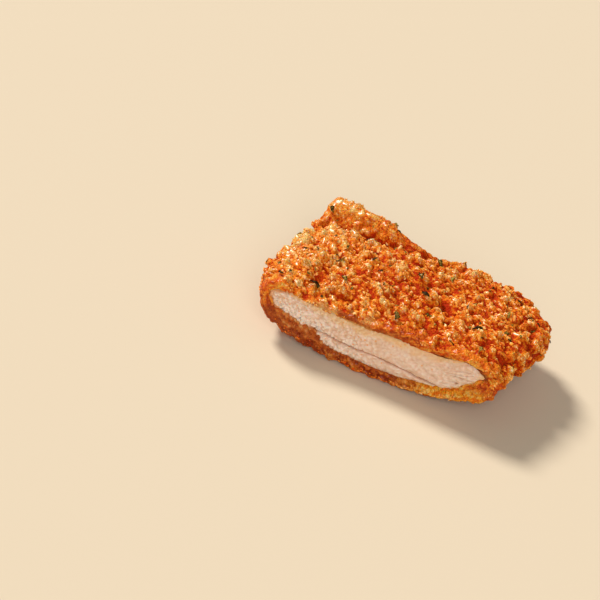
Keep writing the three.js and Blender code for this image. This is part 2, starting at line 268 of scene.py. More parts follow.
def meat_point(q):
    s = slab(q, np.full(len(q), 5.0))
    y = CUT_Y + (s[:, 1] + 1) / 2 * (FAR_EDGE(lerp(-43, 46, (s[:, 0] + 1) / 2)) - CRUST_FAR - CUT_Y)
    x = lerp(LEFT_SIDE(y) + CRUST_LEFT, RIGHT_SIDE(y) - CRUST_RIGHT, (s[:, 0] + 1) / 2)
    t = smooth(CUT_Y, CUT_Y + 13, y)
    dip = mound(x, y, -35, 13.4, 2, 14.6, 4, 2.2)
    in_top = np.maximum(np.minimum(skin_z(s, x, y, True), LEVEL_Z + 0.8) - CRUST_TOP - 0.4 - dip, GIRTH_Z + 2)
    in_low = np.minimum(skin_z(s, x, y, False) + CRUST_LOW, GIRTH_Z - 1)
    top = lerp(np.minimum(MEAT_TOP(x), RIM_TOP(x) - 1.7), in_top, t)
    low = lerp(MEAT_LOW(x), in_low, t)
    return np.stack([x, y, lerp(low, top, (s[:, 2] + 1) / 2)], 1)


def roughness_of(p):
    rim = lerp(0.35, 1, smooth(CUT_Y + 1, CUT_Y + 6, p[:, 1]))
    fold = np.where(p[:, 2] > GIRTH_Z, mound(p[:, 0], p[:, 1], -37, 23, -6, 18, 4, 0.6), 0)
    return rim * (1 - fold)


def notches(p):
    return mound(p[:, 0], p[:, 1], *NOTCH, *NOTCH, 1.8, 2.2) + mound(p[:, 0], p[:, 1], 44, -19, 44, -19, 2, 1)


# ---- meshes ----
def end_grid(nx, nz, rim_start, inner_start):
    """Point numbers over an end face, first round its rim and then inside, and its inner points' places."""
    ident = np.full((nx + 1, nz + 1), -1)
    ident[np.arange(nx), 0] = rim_start + np.arange(nx)
    ident[nx, np.arange(nz)] = rim_start + nx + np.arange(nz)
    ident[np.arange(nx, 0, -1), nz] = rim_start + nx + nz + np.arange(nx)
    ident[0, np.arange(nz, 0, -1)] = rim_start + 2 * nx + nz + np.arange(nz)
    free = ident < 0
    ident[free] = inner_start + np.arange(free.sum())
    u, w = np.meshgrid(np.linspace(-1, 1, nx + 1), np.linspace(-1, 1, nz + 1), indexing="ij")
    return ident, u[free], w[free]


def open_box(nx, ny, nz):
    """Points and faces of a cube -1..1 without its near face.

    The first 2 * (nx + nz) points are its rim, in turn.
    """
    u, w = np.linspace(-1, 1, nx + 1), np.linspace(-1, 1, nz + 1)
    around = np.concatenate([
        np.stack([u[:-1], np.full(nx, -1)], 1), np.stack([np.full(nz, 1), w[:-1]], 1),
        np.stack([u[:0:-1], np.full(nx, 1)], 1), np.stack([np.full(nz, -1), w[:0:-1]], 1)])
    n = len(around)
    v = np.linspace(-1, 1, ny + 1)
    tube = np.stack([np.tile(around[:, 0], ny + 1), np.repeat(v, n), np.tile(around[:, 1], ny + 1)], 1)
    i, j = np.meshgrid(np.arange(n), np.arange(ny))
    a, b = (j * n + i).ravel(), (j * n + (i + 1) % n).ravel()
    sides = np.stack([a, a + n, b + n, b], 1)
    ident, inner_u, inner_w = end_grid(nx, nz, ny * n, len(tube))
    cap = np.stack([inner_u, np.ones(len(inner_u)), inner_w], 1)
    back = np.stack([ident[:-1, :-1], ident[:-1, 1:], ident[1:, 1:], ident[1:, :-1]], -1).reshape(-1, 4)
    return np.concatenate([tube, cap]), np.concatenate([sides, back])


def normals_of(p, faces):
    n = np.cross(p[faces[:, 2]] - p[faces[:, 0]], p[faces[:, -1]] - p[faces[:, 1]])
    at, corners = faces.ravel(), faces.shape[1]
    return unit(np.stack([np.bincount(at, np.repeat(n[:, k], corners), len(p)) for k in range(3)], 1))


def placed(p):
    return (np.asarray(p) - MIDDLE) * 0.001


def new_piece(name, points, faces, smooth_faces=True, **attributes):
    """A mesh object from points in mm and faces of one size. Each attribute has a number for every point."""
    faces = np.asarray(faces)
    mesh = bpy.data.meshes.new(name)
    mesh.vertices.add(len(points))
    mesh.vertices.foreach_set("co", placed(points).astype(np.float32).ravel())
    mesh.loops.add(faces.size)
    mesh.loops.foreach_set("vertex_index", faces.astype(np.int32).ravel())
    mesh.polygons.add(len(faces))
    mesh.polygons.foreach_set("loop_start", np.arange(0, faces.size, faces.shape[1], dtype=np.int32))
    mesh.polygons.foreach_set("use_smooth", np.full(len(faces), smooth_faces))
    mesh.update(calc_edges=True)
    for key, values in attributes.items():
        layer = mesh.attributes.new(key, "FLOAT", "POINT")
        layer.data.foreach_set("value", np.asarray(values, np.float32))
    if mesh.validate():
        raise RuntimeError(name + " came out with bad faces")
    piece = bpy.data.objects.new(name, mesh)
    bpy.context.scene.collection.objects.link(piece)
    return piece


# ---- materials ----
def srgb(*colour):
    shares = [c / 255 for c in colour]
    return tuple(c / 12.92 if c <= 0.04 else ((c + 0.055) / 1.055) ** 2.4 for c in shares) + (1.0,)


# tones of the finishes besides those in the settings, from dark to light
# PAINTED_GLINT is a painted highlight; CREST, the crests' tone, is partly painted light
CREST, PAINTED_GLINT = srgb(255, 206, 118), srgb(255, 246, 220)
SCORCHED, RUST, SAND = srgb(160, 60, 14), srgb(200, 74, 10), srgb(240, 156, 80)
RIM_TONES = srgb(190, 66, 8), srgb(250, 158, 48)
BATTER_TONES = srgb(180, 78, 18), srgb(212, 122, 48)
AMBER_TONES = srgb(150, 50, 6), srgb(206, 108, 36), srgb(230, 166, 100)
HONEY_TONES = srgb(238, 120, 16), srgb(255, 210, 116)
BROWN_TONES = srgb(150, 50, 8), srgb(200, 96, 24), srgb(230, 138, 50)
# painted glow of the smooth rim
PAINTED_GLOW_TONES = srgb(226, 84, 6), srgb(250, 134, 26), srgb(255, 184, 66)
# painted shadow under the right lip
LIP_SHADOW_TONE = srgb(116, 34, 8)
# the meat's tan tone also paints shade between its parted strands
MEAT_CLOUD, MEAT_TAN_AND_SHADE, MEAT_OIL = srgb(214, 162, 116), srgb(206, 122, 62), srgb(232, 150, 60)
# CRUMB_PAINTED_GLINT is a painted highlight
CRUMB_YELLOW, CRUMB_SAND, CRUMB_PAINTED_GLINT = srgb(255, 176, 44), srgb(250, 176, 104), srgb(255, 246, 216)
HERB_DEEP = srgb(44, 28, 6)


class Socket:
    """A shader socket that takes part in sums."""

    def __init__(self, finish, socket):
        self.finish, self.socket = finish, socket

    def _math(self, operation, *values):
        return self.finish.node("ShaderNodeMath", {"operation": operation}, dict(enumerate(values)))

    def __add__(self, other): return self._math("ADD", self, other)
    def __radd__(self, other): return self._math("ADD", other, self)
    def __sub__(self, other): return self._math("SUBTRACT", self, other)
    def __rsub__(self, other): return self._math("SUBTRACT", other, self)
    def __mul__(self, other): return self._math("MULTIPLY", self, other)
    def __rmul__(self, other): return self._math("MULTIPLY", other, self)

    def between(self, low, high):
        """0 below low, 1 above high, and smooth between."""
        return self.finish.node("ShaderNodeMapRange", {"interpolation_type": "SMOOTHSTEP"},
                                {"Value": self, "From Min": low, "From Max": high})


class Finish:
    """A material and the nodes that make it."""

    def __init__(self, name):
        self.material = bpy.data.materials.new(name)
        self.material.use_nodes = True
        self.tree = self.material.node_tree
        self.tree.nodes.clear()

    def node(self, kind, settings=None, inputs=None, out=0):
        made = self.tree.nodes.new(kind)
        for key, value in (settings or {}).items():
            if key == "stops":
                ramp = made.color_ramp.elements
                while len(ramp) < len(value):
                    ramp.new(0.5)
                for stop, (place, colour) in zip(ramp, value):
                    stop.position, stop.color = place, colour
            else:
                setattr(made, key, value)
        for key, value in (inputs or {}).items():
            if isinstance(value, Socket):
                self.tree.links.new(value.socket, made.inputs[key])
            else:
                made.inputs[key].default_value = value
        return Socket(self, made.outputs[out])

    def place(self):
        return self.node("ShaderNodeTexCoord", out="Object")

    def number(self, name):
        return self.node("ShaderNodeAttribute", {"attribute_name": name}, out="Fac")

    def cloud(self, size_mm, detail=2.0, stretch=None):
        where = self.place()
        if stretch:
            where = self.node("ShaderNodeVectorMath", {"operation": "MULTIPLY"}, {0: where, 1: stretch})
        values = {"Vector": where, "Scale": 1000 / size_mm, "Detail": detail}
        return self.node("ShaderNodeTexNoise", {}, values)

    def cells(self, scale, out="Distance"):
        return self.node("ShaderNodeTexVoronoi", {}, {"Vector": self.place(), "Scale": scale}, out=out)

    def mix(self, a, b, t):
        return self.node("ShaderNodeMix", {"data_type": "RGBA"}, {0: t, 6: a, 7: b}, out=2)

    def ramp(self, t, *stops):
        return self.node("ShaderNodeValToRGB", {"stops": stops}, {0: t})

    def spots(self, scale, share=0.5):
        """Round specks, on a share of the cells of a pattern."""
        odd = self.node("ShaderNodeSeparateColor", {}, {0: self.cells(scale, "Color")})
        return (1 - self.cells(scale).between(0.14, 0.38)) * odd.between(1 - share, 1.02 - share)

    def bump(self, height, depth_mm, strength=1.0):
        values = {"Strength": strength, "Distance": depth_mm / 1000, "Height": height}
        return self.node("ShaderNodeBump", {}, values)

    def skin(self, **inputs):
        values = {name.replace("_", " "): value for name, value in inputs.items()}
        shader = self.node("ShaderNodeBsdfPrincipled", {}, values)
        made = self.tree.nodes.new("ShaderNodeOutputMaterial")
        self.tree.links.new(shader.socket, made.inputs["Surface"])
        return self.material


# ---- settings ----
def colour(label, text, value):
    return bpy.props.FloatVectorProperty(
        name=label, description=text, subtype="COLOR", size=4, min=0, max=1, default=srgb(*value))


def amount(label, text, value, most):
    return bpy.props.FloatProperty(name=label, description=text, default=value, min=0, max=most)


def number_of(label, text, value, most):
    return bpy.props.IntProperty(name=label, description=text, default=value, min=0, max=most)


class CoatingSettings(bpy.types.PropertyGroup):
    """Relief and colours of the fried coating."""
    crag_coarse: amount("Large crags", "Height of the large crags, mm", 1.5, 3)
    crag_fine: amount("Small crags", "Height of the small crags, mm", 0.95, 2)
    knoll: amount("Knolls", "Height of the rounded lumps between crags and clumps, mm", 0.38, 2)
    clump: amount("Clumps", "Height of the clumped crumb, mm", 0.45, 1)
    grain: amount("Grain", "Height of single grains, mm", 0.42, 1)
    # deep and gold are partly the crust's own colour, partly painted shade in the hollows and painted light
    # on the raised crust
    deep: colour("Deep crust", "Colour in the hollows", (192, 50, 8))
    mid: colour("Crust", "Colour of the crust", (240, 120, 20))
    gold: colour("Golden crust", "Colour of the raised crust", (255, 160, 40))
    rim: colour("Rim", "Colour of the smooth crust along the cut", (230, 110, 20))
    amber: colour("Amber", "Colour of the thick glossy crust under the left end", (178, 76, 16))
    honey: colour("Honey", "Colour of the crust under the right end", (255, 168, 40))
    inner: colour("Inner batter", "Colour of the soft layer next to the meat", (232, 180, 110))


class CrumbSettings(bpy.types.PropertyGroup):
    """The loose-looking crumbs that stand on the coating."""
    fine_count: number_of("Fine crumbs", "Fine crumbs on the top", 4200, 9000)
    medium_count: number_of("Medium crumbs", "Medium crumbs on the top", 1300, 2400)
    toasted: colour("Toasted", "Colour of the darker crumbs", (232, 90, 8))
    golden: colour("Golden", "Colour of most crumbs", (255, 156, 38))
    pale: colour("Pale", "Colour of the palest crumbs", (255, 204, 120))


class HerbSettings(bpy.types.PropertyGroup):
    """Dried herb flakes and specks of pepper."""
    small_count: number_of("Small flakes", "Small flakes besides the large ones", 70, 300)
    dark: colour("Dark herb", "Colour of most flakes", (100, 74, 20))
    light: colour("Light herb", "Colour of the palest flakes", (176, 150, 66))


class MeatSettings(bpy.types.PropertyGroup):
    """The cooked white meat."""
    seam_depth: amount("Seam", "Depth of the gap between the muscle layers, mm", 3.2, 5)
    flesh: colour("Flesh", "Colour of the meat", (223, 183, 154))
    fibre: colour("Fibre", "Colour of its pale strands", (245, 226, 210))
    juice: colour("Juice", "Colour where it meets the coating", (232, 178, 102))
    shade: colour("Shade", "Colour down in its gaps", (190, 128, 84))


class StageSettings(bpy.types.PropertyGroup):
    """Floor, lights and camera."""
    floor: colour("Floor", "Colour of the floor", (222, 206, 182))
    azimuth: bpy.props.FloatProperty(name="Azimuth", description="Camera azimuth, degrees", default=13.5)
    elevation: bpy.props.FloatProperty(
        name="Elevation", description="Camera elevation, degrees", default=31.0)
    roll: bpy.props.FloatProperty(name="Roll", description="Camera roll, degrees", default=15.0)
    distance: bpy.props.FloatProperty(
        name="Distance", description="Camera distance", default=0.452, unit="LENGTH")
    lens: bpy.props.FloatProperty(name="Lens", description="Focal length, mm", default=85.0)


# ---- places on the coating ----
def spread(count, start=0, low=-0.93):
    """Evenly spread spots as points of the cube, on the top and a little way down the crumbed sides."""
    k = start + np.arange(count + count // 8 + 60)
    u, v = lerp(-1.22, 1.22, (0.5 + k * 0.7548776662) % 1), lerp(low, 1.2, (0.5 + k * 0.5698402910) % 1)
    du, dv = np.maximum(np.abs(u) - 1, 0), np.maximum(v - 1, 0)
    spots = np.stack([np.clip(u, -1, 1), np.minimum(v, 1), 1 - 6 * np.maximum(du, dv)], 1)
    away = np.linalg.norm(outer_point(spots)[:, :2] - NOTCH, axis=1)
    return spots[((du == 0) | (dv == 0)) & (away > NOTCH_CLEAR)][:count]


def tree_of(points):
    tree = kdtree.KDTree(len(points))
    for k, c in enumerate(points):
        tree.insert(c, k)
    tree.balance()
    return tree


class Coating:
    """Points of the finished coating, kept so that crumbs and flakes can stand on it."""
    points = normals = level = band = lift = calm = tree = flakes = rim = None

    @classmethod
    def at(cls, spots):
        return np.array([cls.tree.find(s)[1] for s in spots])


def frames(normals, turns):
    """Turning matrices that take +Z to each normal, after a turn about +Z."""
    out = []
    for n, a in zip(normals, turns):
        q = Vector((0, 0, 1)).rotation_difference(Vector(n))
        out.append(np.array(q.to_matrix() @ Matrix.Rotation(a, 3, "Z")))
    return np.array(out)


def joined(templates, picks, turned, centres, scales):
    """Copies of small template meshes, joined: points, faces and how many points each copy has."""
    points, faces, count, lengths = [], [], 0, []
    for pick, turn, centre, scale in zip(picks, turned, centres, scales):
        p, f = templates[pick]
        points.append((p * scale) @ turn.T + centre)
        faces.append(f + count)
        lengths.append(len(p))
        count += len(p)
    return np.concatenate(points), np.concatenate(faces), np.array(lengths)


def ball(subdivisions):
    """Points and triangles of a ball of radius 1."""
    bm = bmesh.new()
    bmesh.ops.create_icosphere(bm, subdivisions=subdivisions, radius=1.0)
    p = np.array([v.co[:] for v in bm.verts])
    f = np.array([[v.index for v in face.verts] for face in bm.faces])
    bm.free()
    return p, f


# ---- operators ----
class FILLET_OT_coating(bpy.types.Operator):
    """Build the craggy fried coating with its cut edge"""
    bl_idname = "fillet.coating"
    bl_label = "Coating"

    def execute(self, context):
        s = context.scene.fillet_coating
        nx, ny, nz = CRUST_GRID
        q, faces = open_box(nx, ny, nz)
        rim = 2 * (nx + nz)
        skin = self.relief(s, q, faces, rim)
        hollow, hollow_faces = self.cavity(nx, nz, rim)
        loops, streaks = self.cut_edge(skin, hollow, rim)
        points = np.concatenate([skin.outer] + loops + [hollow])
        start = [0] + [len(skin.outer) + rim * k for k in range(CUT_RINGS)]
        i = np.arange(rim)
        j = (i + 1) % rim
        strips = [np.stack([a + i, a + j, b + j, b + i], 1) for a, b in zip(start, start[1:])]
        all_faces = np.concatenate([faces] + strips + [hollow_faces[:, ::-1] + start[-1]])

        steps = [np.full(rim, k / CUT_RINGS) for k in range(1, CUT_RINGS)]
        core = np.concatenate([np.zeros(len(skin.outer))] + steps + [np.ones(len(hollow))])
        streak = np.concatenate([skin.swollen] + streaks + [np.full(len(hollow), 0.5)])
        crust = new_piece("fried_crust", points, all_faces, **self.zones(skin, points, core, streak))
        crust.data.materials.append(self.finish(s))
        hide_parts("crumb_coating")
        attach(crust, "root")
        return {"FINISHED"}

    @staticmethod
    def relief(s, q, faces, rim):
        """The crumbed outside, from the solid's form, and what the cut edge and the colours need of it."""
        base = outer_point(q)
        n = normals_of(base, faces)
        Coating.level = n.copy()
        n[:rim, 1] = 0
        n[:rim] = unit(n[:rim])

        # crags and the largest crumbs, as on the solid, then clumps and grains on them
        x, y = base[:, 0], base[:, 1]
        fold = np.where(base[:, 2] > GIRTH_Z, mound(x, y, -40, 19.5, 4, 17.5, 3.0, 0.95), 0)
        rough = roughness_of(base) * (1 - 0.3 * fold)
        coarse, fine = lumps(base, CRAG_SIZE), lumps(base, SMALL_CRAG_SIZE)
        moved = base + n * (rough * (s.crag_coarse * coarse + s.crag_fine * fine) - notches(base))[:, None]
        tree = tree_of(q)
        nodule = np.zeros(len(q))
        for k, c in enumerate(spread(CRUMBS)):
            r = lerp(CRUMB_MAX, CRUMB_MIN, k / CRUMBS)
            centre = moved[tree.find(c)[1]]
            d2 = ((moved - centre) ** 2).sum(1) / (1.15 * r) ** 2
            nodule = np.maximum(nodule, 0.85 * r * np.sqrt(np.maximum(1 - d2, 0)))
        moved = moved + n * nodule[:, None]
        upper = smooth(GIRTH_Z - 4, GIRTH_Z + 2, base[:, 2])
        bare = lerp(1.0, BARE(base[:, 0]), upper)
        crumbed = smooth(-0.9, 0.9, base[:, 1] - CUT_Y - bare + 3.4 * noise(base, 2.6, 4.4))
        cleft = np.max([mound(x, y, *c) for c in CLEFTS], 0) * upper
        knoll = lumps(moved, KNOLL_SIZE, 6.1)
        moved = moved + n * (s.knoll * crumbed * (1 - fold) * knoll - 0.3 * cleft)[:, None]
        # the clumps and grains are drawn out along one way, and more on the right, like torn flakes
        across, along = moved @ ACROSS, moved @ ALONG
        drawn = [np.stack([along * squeeze, across, moved[:, 2]], 1) for squeeze in SQUEEZE]
        clump = lerp(*(lumps(d, size, 3.7) for d, size in zip(drawn, CLUMP_SIZES)), smooth(12, 26, x))
        height, ident = grains(drawn[0], GRAIN_SIZE)
        vary = 0.3 + 0.7 * smooth(0.1, 0.8, ident)
        bulge = lumps(moved, BULGE_SIZE, 8.1)
        under = 1 - smooth(2.5, 9.0, base[:, 2] + 2.0 * noise(base, 5, 1.5))
        calm = 1 - 0.35 * under
        crisp = (1 - 0.75 * fold) * s.clump * clump + (1 - 0.35 * fold) * s.grain * vary * (height - 0.3)
        detail = crumbed * calm * crisp
        knobby = lerp(lerp(0.25, 1.05, smooth(15, 22, x)), 0.5, under)
        bald = knobby * bulge + 0.16 * lumps(moved, 1.1, 2.1) + lerp(0.12, 0.3, under) * (height - 0.3)
        detail += (1 - crumbed) * bald
        edge = np.clip((base[:, 1] - CUT_Y) / 0.7, 0, 1)
        rolled = 0.5 * (1 - np.sqrt(1 - (1 - edge) ** 2))
        rolled -= (1 - smooth(0, 4, base[:, 1] - CUT_Y)) * 0.9 * noise(base, 3.3, 5.1)
        outer = moved + n * (detail - rolled)[:, None]
        lip = LIP(base[:, 0]) * upper
        outer[:, 1] -= lip * (1 - smooth(CUT_Y, CUT_Y + 3.5, base[:, 1]))
        outer[:, 2] = np.maximum(outer[:, 2], FLOOR_Z)

        # how far each place stands out of its hollows, with painted light and shade added, which the colours
        # and the loose crumbs follow
        lift = (0.46 + 0.24 * rough * coarse + 0.26 * rough * fine + 0.16 * knoll + 0.4 * clump
                + 0.62 * (height - 0.4) * vary + 0.08 * nodule)
        lift = lerp(lift, 0.5 + 0.22 * clump + 0.4 * (height - 0.4) * vary, 0.6 * fold)
        # painted light on the upward-facing top at the left and painted shade on steep sides; besides, a
        # little darker towards the right end and lighter along a strip in front of the crease
        facing_up = Coating.level[:, 2]
        lift += (0.24 * (1 - smooth(-34, -4, x)) * smooth(0.35, 0.9, facing_up)
                 - 0.08 * (1 - smooth(0.1, 0.6, facing_up)) - 0.02 * smooth(14, 40, x)
                 + mound(x, y, -27, 9.4, 0, 10.8, 1.5, 0.16))
        # painted shade: the clefts are darkened
        lift = np.clip(lift - 0.65 * cleft, 0, 1.2)

        Coating.points, Coating.normals = outer, normals_of(outer, faces)
        Coating.band, Coating.lift, Coating.calm = 1 - crumbed, lift, np.maximum(fold, cleft)
        Coating.tree = tree
        swollen = np.clip(0.5 + 0.5 * lerp(bulge, clump, crumbed), 0, 1)
        return SimpleNamespace(base=base, n=n, outer=outer, lift=lift, bald=1 - crumbed,
                               under=under, swollen=swollen)

    @staticmethod
    def cavity(nx, nz, rim):
        """The inside of the crust behind the meat's gap, from its rim inwards: points and faces."""
        qi, fi = open_box(nx, CAVITY_ROWS, nz)
        hollow = meat_point(qi)
        ni = normals_of(hollow, fi)
        ni[:rim, 1] = 0
        ni[:rim] = unit(ni[:rim])
        ragged = 0.28 * noise(hollow, 1.6, 3.9) + 0.12 * noise(hollow, 0.7, 1.9) - 0.1
        ragged = lerp(ragged, 0.2, smooth(CUT_Y, CUT_Y + 1.5, hollow[:, 1]))
        return hollow + ni * ragged[:, None], fi

    @staticmethod
    def cut_edge(skin, hollow, rim):
        """Loops across the crust's cut edge, streaked and folded, from its outer to its inner rim.

        The inner rim, the start of the hollow, is set back a little.
        """
        base, outer, ring = skin.base, skin.outer, CUT_RINGS
        arc = np.concatenate([[0], np.cumsum(np.linalg.norm(np.diff(hollow[:rim], axis=0), axis=1))])
        high = smooth(GIRTH_Z - 1, GIRTH_Z + 2, base[:rim, 2])
        right = smooth(4, 24, base[:rim, 0])
        thick = np.linalg.norm(outer[:rim] - hollow[:rim], axis=1)
        hollow[:rim, 1] += 0.35 - 0.1 * right * high
        lumpy = lerp(lerp(0.3, 0.8, right), lerp(0.25, 0.5, right), high)
        grainy = 0.35 * lerp(lerp(0.5, 0.6, right), 0.3, high)
        loops, streaks = [], []
        for k in range(1, ring):
            t = k / ring
            loop = lerp(outer[:rim], hollow[:rim], t)
            away = np.minimum(np.minimum(t, 1 - t) * 4, 1)
            bend = 0.8 * noise(columns(arc / 5, t, 8.8), 1.0)
            streak = noise(columns(arc / 4.5, t * thick / 1.6 + bend, 3.3), 1.0)
            knob = lumps(loop, 1.9, 2.2)
            grain = grains(loop, 1.1)[0] - 0.4
            loop[:, 1] -= away * (0.1 + 0.35 * streak * lerp(1 - right, 1, high) + knob * lumpy)
            loop[:, 1] -= away * (0.3 * noise(loop, 0.9, 5.2) + grainy * grain)
            loops.append(loop)
            streaks.append(np.clip(0.5 + 0.9 * streak + 0.4 * knob + 0.5 * grain, 0, 1))
        lean = unit(skin.n[:rim] * 0.7 + (0, -1, 0))
        edge_x, edge_z = base[:rim, 0], base[:rim, 2]
        sown = EDGE_CRUMBS(edge_x) * high + (1 - high) * lerp(0.35, 0.75, smooth(-16, -10, edge_x))
        sown = np.where((edge_x > 38) & (edge_z > 2), 0.9, np.where(edge_x < -35, 0.3, sown))
        Coating.rim = [np.column_stack((loop, lean, sown * (1 - k / EDGE_LOOPS), edge_x))
                       for k, loop in enumerate(loops[:EDGE_LOOPS])]
        return loops, streaks

    @staticmethod
    def zones(skin, points, core, streak):
        """Where the fried skin is bald, translucent batter, thick amber, or golden and lumpy, and where
        shadow and glow are painted on.
        """
        rest = len(points) - len(skin.outer)
        x, z = points[:, 0] + 3.5 * noise(points, 5, 2.6), points[:, 2] + 1.6 * noise(points, 4, 1.5)
        cut = smooth(0, 0.08, core)
        under = np.append(skin.under, np.ones(rest)) * (1 - smooth(6, 10, z))
        bald = np.append(skin.bald, np.ones(rest))
        amber = (1 - smooth(-19, -6, x)) * (1 - smooth(4, 10, z - 0.1 * (x + 40))) * np.maximum(cut, under)
        honey = smooth(8, 24, x) * (1 - smooth(6, 11, z)) * np.maximum(cut, under)
        honey = np.maximum(honey, 0.15 * smooth(14, 22, x) * smooth(13, 16, z) * (1 - smooth(36, 42, x)))
        batter = cut * smooth(10, 13, z) * smooth(-26, -19, x) * (1 - smooth(4, 14, x))
        batter *= smooth(0.15, 0.5, core)
        sheer = smooth(-22, -15, x) * (1 - smooth(-3, 3, x)) * smooth(12, 14, z) * (points[:, 1] < CUT_Y + 4)
        batter = np.maximum(batter, 0.85 * sheer * bald)
        fine_streak = 0.45 + 1.1 * noise(columns(x / 7, (points[:, 1] + points[:, 2]) / 0.8, 4.4), 1.0)
        streak = lerp(streak, np.clip(fine_streak, 0, 1), sheer)
        # painted shadow: the inner part of the cut edge under the right lip is darkened
        dusk = smooth(0.55, 0.85, core) * smooth(17, 22, points[:, 0]) * smooth(12, 14, z)
        dusk *= 1 - smooth(37, 40, points[:, 0])
        # painted light: the smooth rim at the left end and along the right lip is painted a brighter, glowing
        # orange
        glow = smooth(13, 19, x) * (1 - smooth(38, 43, x)) + 1 - smooth(-27, -20, x)
        glow = glow * smooth(11, 14, z) * (points[:, 1] < CUT_Y + 5)
        return {"lift": np.append(skin.lift, np.full(rest, 0.5)), "band": bald, "core": core,
                "streak": streak, "under": under, "amber": amber, "honey": honey, "batter": batter,
                "dusk": dusk, "glow": glow}

    @staticmethod
    def finish(s):
        f = Finish("Fried Crumb Crust")
        lift, band, core = f.number("lift"), f.number("band"), f.number("core")
        under, streak = f.number("under"), f.number("streak")
        broad, mottle, speck = f.cloud(12.0), f.cloud(2.4, 4.0), f.cloud(0.7, 3.0)
        cell, small_cell = 1 - f.cells(1050.0), 1 - f.cells(1900.0)
        # the crust darkens towards its hollows and pales on its crests, partly its own toasting and partly
        # painted shade in the hollows and painted light on the crests
        height = lift + (mottle - 0.5) * 0.25 + (cell - 0.6) * 0.45 + (small_cell - 0.6) * 0.3
        crust = f.ramp(height, (0.1, tuple(s.deep)), (0.36, tuple(s.mid)),
                       (0.62, tuple(s.gold)), (0.95, CREST))
        crust = f.mix(crust, RUST, broad.between(0.45, 0.7) * 0.34)
        crust = f.mix(crust, SAND, f.cloud(1.7, 2.0).between(0.5, 0.64) * lift.between(0.3, 0.7) * 0.2)
        # painted highlights: pale specks on the raised crust
        crust = f.mix(crust, PAINTED_GLINT, f.spots(1500.0, 0.5) * lift.between(0.4, 0.85) * 0.8)
        crust = f.mix(crust, SCORCHED, under * 0.4)
        smoothed = f.ramp(mottle * 0.5 + streak * 0.5 + (cell - 0.6) * 0.5 + core * 0.12,
                          (0.25, RIM_TONES[0]), (0.48, tuple(s.rim)), (0.78, RIM_TONES[1]))
        batter = f.ramp(streak + (speck - 0.5) * 0.5,
                        (0.15, BATTER_TONES[0]), (0.55, BATTER_TONES[1]), (1.0, tuple(s.inner)))
        amber = f.ramp(core * 0.55 + streak * 0.6 + (mottle - 0.5) * 0.4 + (speck - 0.5) * 0.2,
                       (0.1, AMBER_TONES[0]), (0.42, tuple(s.amber)),
                       (0.74, AMBER_TONES[1]), (1.0, AMBER_TONES[2]))
        marbled = streak * 0.6 + mottle * 0.4
        grained = marbled + (cell - 0.6) * 0.4
        honey = f.ramp(grained, (0.2, HONEY_TONES[0]), (0.46, tuple(s.honey)), (0.8, HONEY_TONES[1]))
        brown = f.ramp(marbled, *zip((0.25, 0.55, 0.85), BROWN_TONES))
        # painted glow on the smooth rim
        painted_glowing = f.ramp(grained, *zip((0.25, 0.5, 0.85), PAINTED_GLOW_TONES))
        smoothed = f.mix(smoothed, painted_glowing, f.number("glow") * 0.8)
        skin = f.mix(crust, smoothed, band.between(0.2, 0.8))
        skin = f.mix(skin, brown, core.between(0.0, 0.1) * under)
        skin = f.mix(skin, batter, f.number("batter"))
        skin = f.mix(skin, amber, f.number("amber") * band.between(0.2, 0.8))
        skin = f.mix(skin, honey, f.number("honey") * band.between(0.2, 0.8))
        # painted shadow on the cut edge under the right lip
        skin = f.mix(skin, LIP_SHADOW_TONE, f.number("dusk") * 0.85)
        return f.skin(
            Base_Color=skin,
            Roughness=0.62 - 0.16 * band - 0.15 * lift,
            Coat_Weight=(0.75 * lift.between(0.4, 0.8) * (1 - band) + 0.25 * band) * (0.4 + 0.6 * cell),
            Normal=f.bump(cell + 0.8 * small_cell + 0.3 * speck, 0.75, 1.0),
            Coat_Roughness=0.26, Coat_IOR=1.75, Specular_IOR_Level=0.06,
            Subsurface_Weight=0.25, Subsurface_Radius=(1.0, 0.35, 0.1), Subsurface_Scale=0.0012, IOR=1.45)


